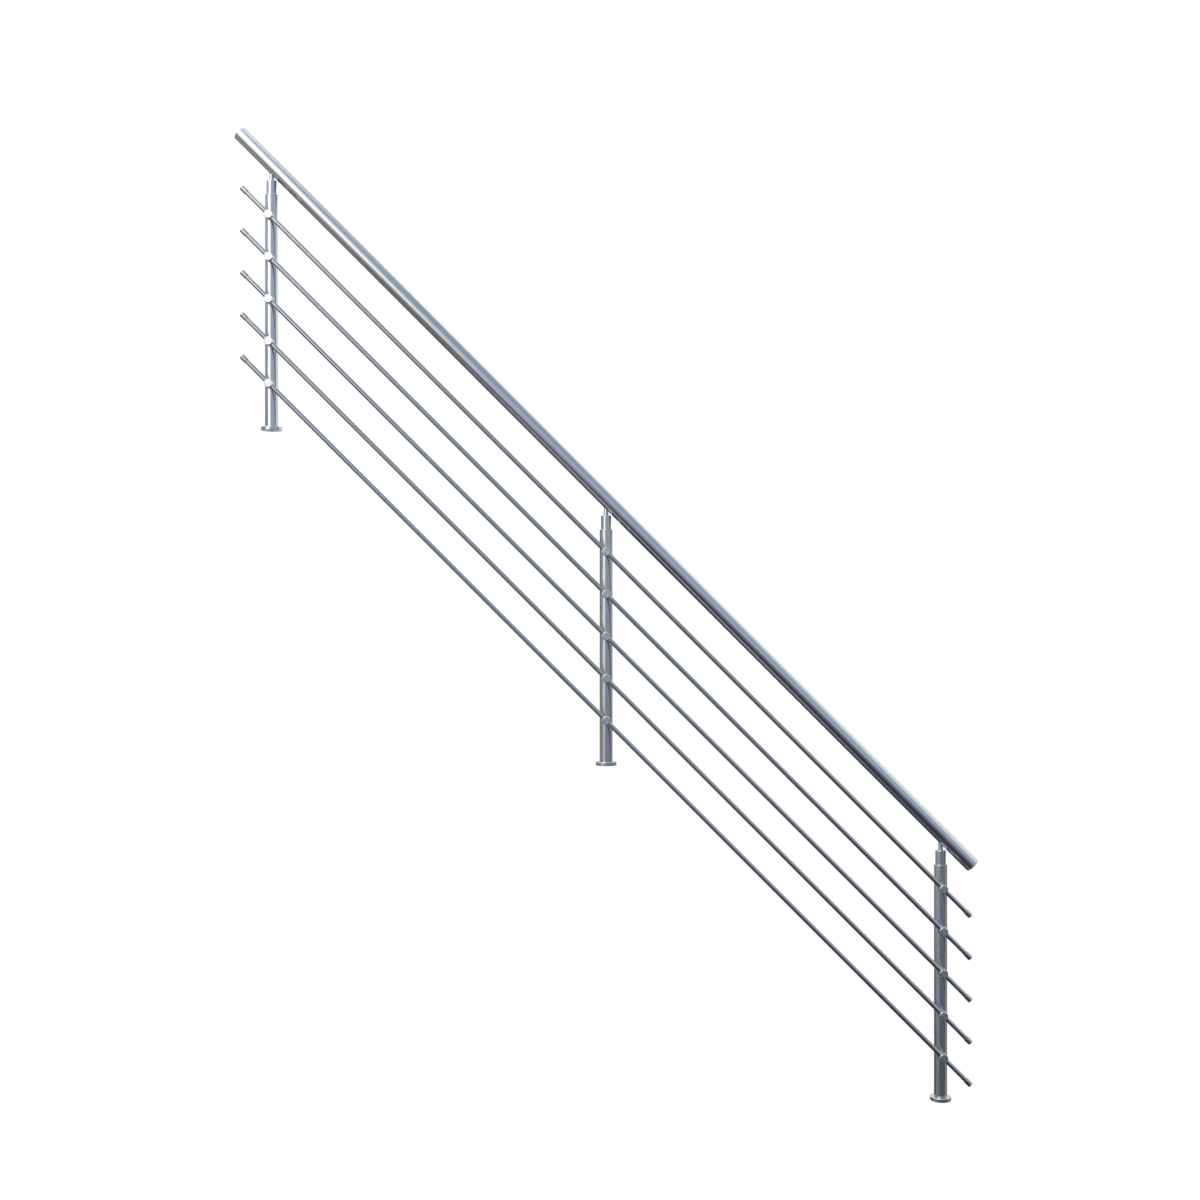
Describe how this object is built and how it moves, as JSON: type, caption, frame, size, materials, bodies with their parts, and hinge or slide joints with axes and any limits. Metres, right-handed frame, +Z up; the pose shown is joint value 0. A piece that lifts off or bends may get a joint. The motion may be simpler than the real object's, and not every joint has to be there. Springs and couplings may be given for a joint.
{
  "type": "stair balustrade panel",
  "caption": "Sloping stair balustrade: round handrail on pins above tubular posts with round feet, and parallel infill rods held in front of the posts, in satin steel.",
  "frame": {"origin": "centre of the lower post's foot, on the face that stands on the tread", "axes": "+Z up, +X level and down the stair, -Y towards the side that carries the infill rods"},
  "size_m": [2.4434, 0.085, 3.1964],
  "materials": {
    "handrail_steel": "satin, ground round the tube",
    "post_steel": "satin, ground round the tube",
    "rod_steel": "satin",
    "fitting_steel": "satin, turned"
  },
  "bodies": {
    "root": {"handrail_tube": "handrail_steel", "handrail_cap_upper": "handrail_steel", "handrail_cap_lower": "handrail_steel", "base_lower": "post_steel", "post_lower": "post_steel", "neck_lower": "post_steel", "pin_lower": "fitting_steel", "base_middle": "post_steel", "post_middle": "post_steel", "neck_middle": "post_steel", "pin_middle": "fitting_steel", "base_upper": "post_steel", "post_upper": "post_steel", "neck_upper": "post_steel", "pin_upper": "fitting_steel", "rod_1": "rod_steel", "rod_1_cap_upper": "rod_steel", "rod_1_cap_lower": "rod_steel", "rod_2": "rod_steel", "rod_2_cap_upper": "rod_steel", "rod_2_cap_lower": "rod_steel", "rod_3": "rod_steel", "rod_3_cap_upper": "rod_steel", "rod_3_cap_lower": "rod_steel", "rod_4": "rod_steel", "rod_4_cap_upper": "rod_steel", "rod_4_cap_lower": "rod_steel", "rod_5": "rod_steel", "rod_5_cap_upper": "rod_steel", "rod_5_cap_lower": "rod_steel", "holder_lower_1": "fitting_steel", "holder_lower_2": "fitting_steel", "holder_lower_3": "fitting_steel", "holder_lower_4": "fitting_steel", "holder_lower_5": "fitting_steel", "holder_middle_1": "fitting_steel", "holder_middle_2": "fitting_steel", "holder_middle_3": "fitting_steel", "holder_middle_4": "fitting_steel", "holder_middle_5": "fitting_steel", "holder_upper_1": "fitting_steel", "holder_upper_2": "fitting_steel", "holder_upper_3": "fitting_steel", "holder_upper_4": "fitting_steel", "holder_upper_5": "fitting_steel"}
  },
  "joints": []
}
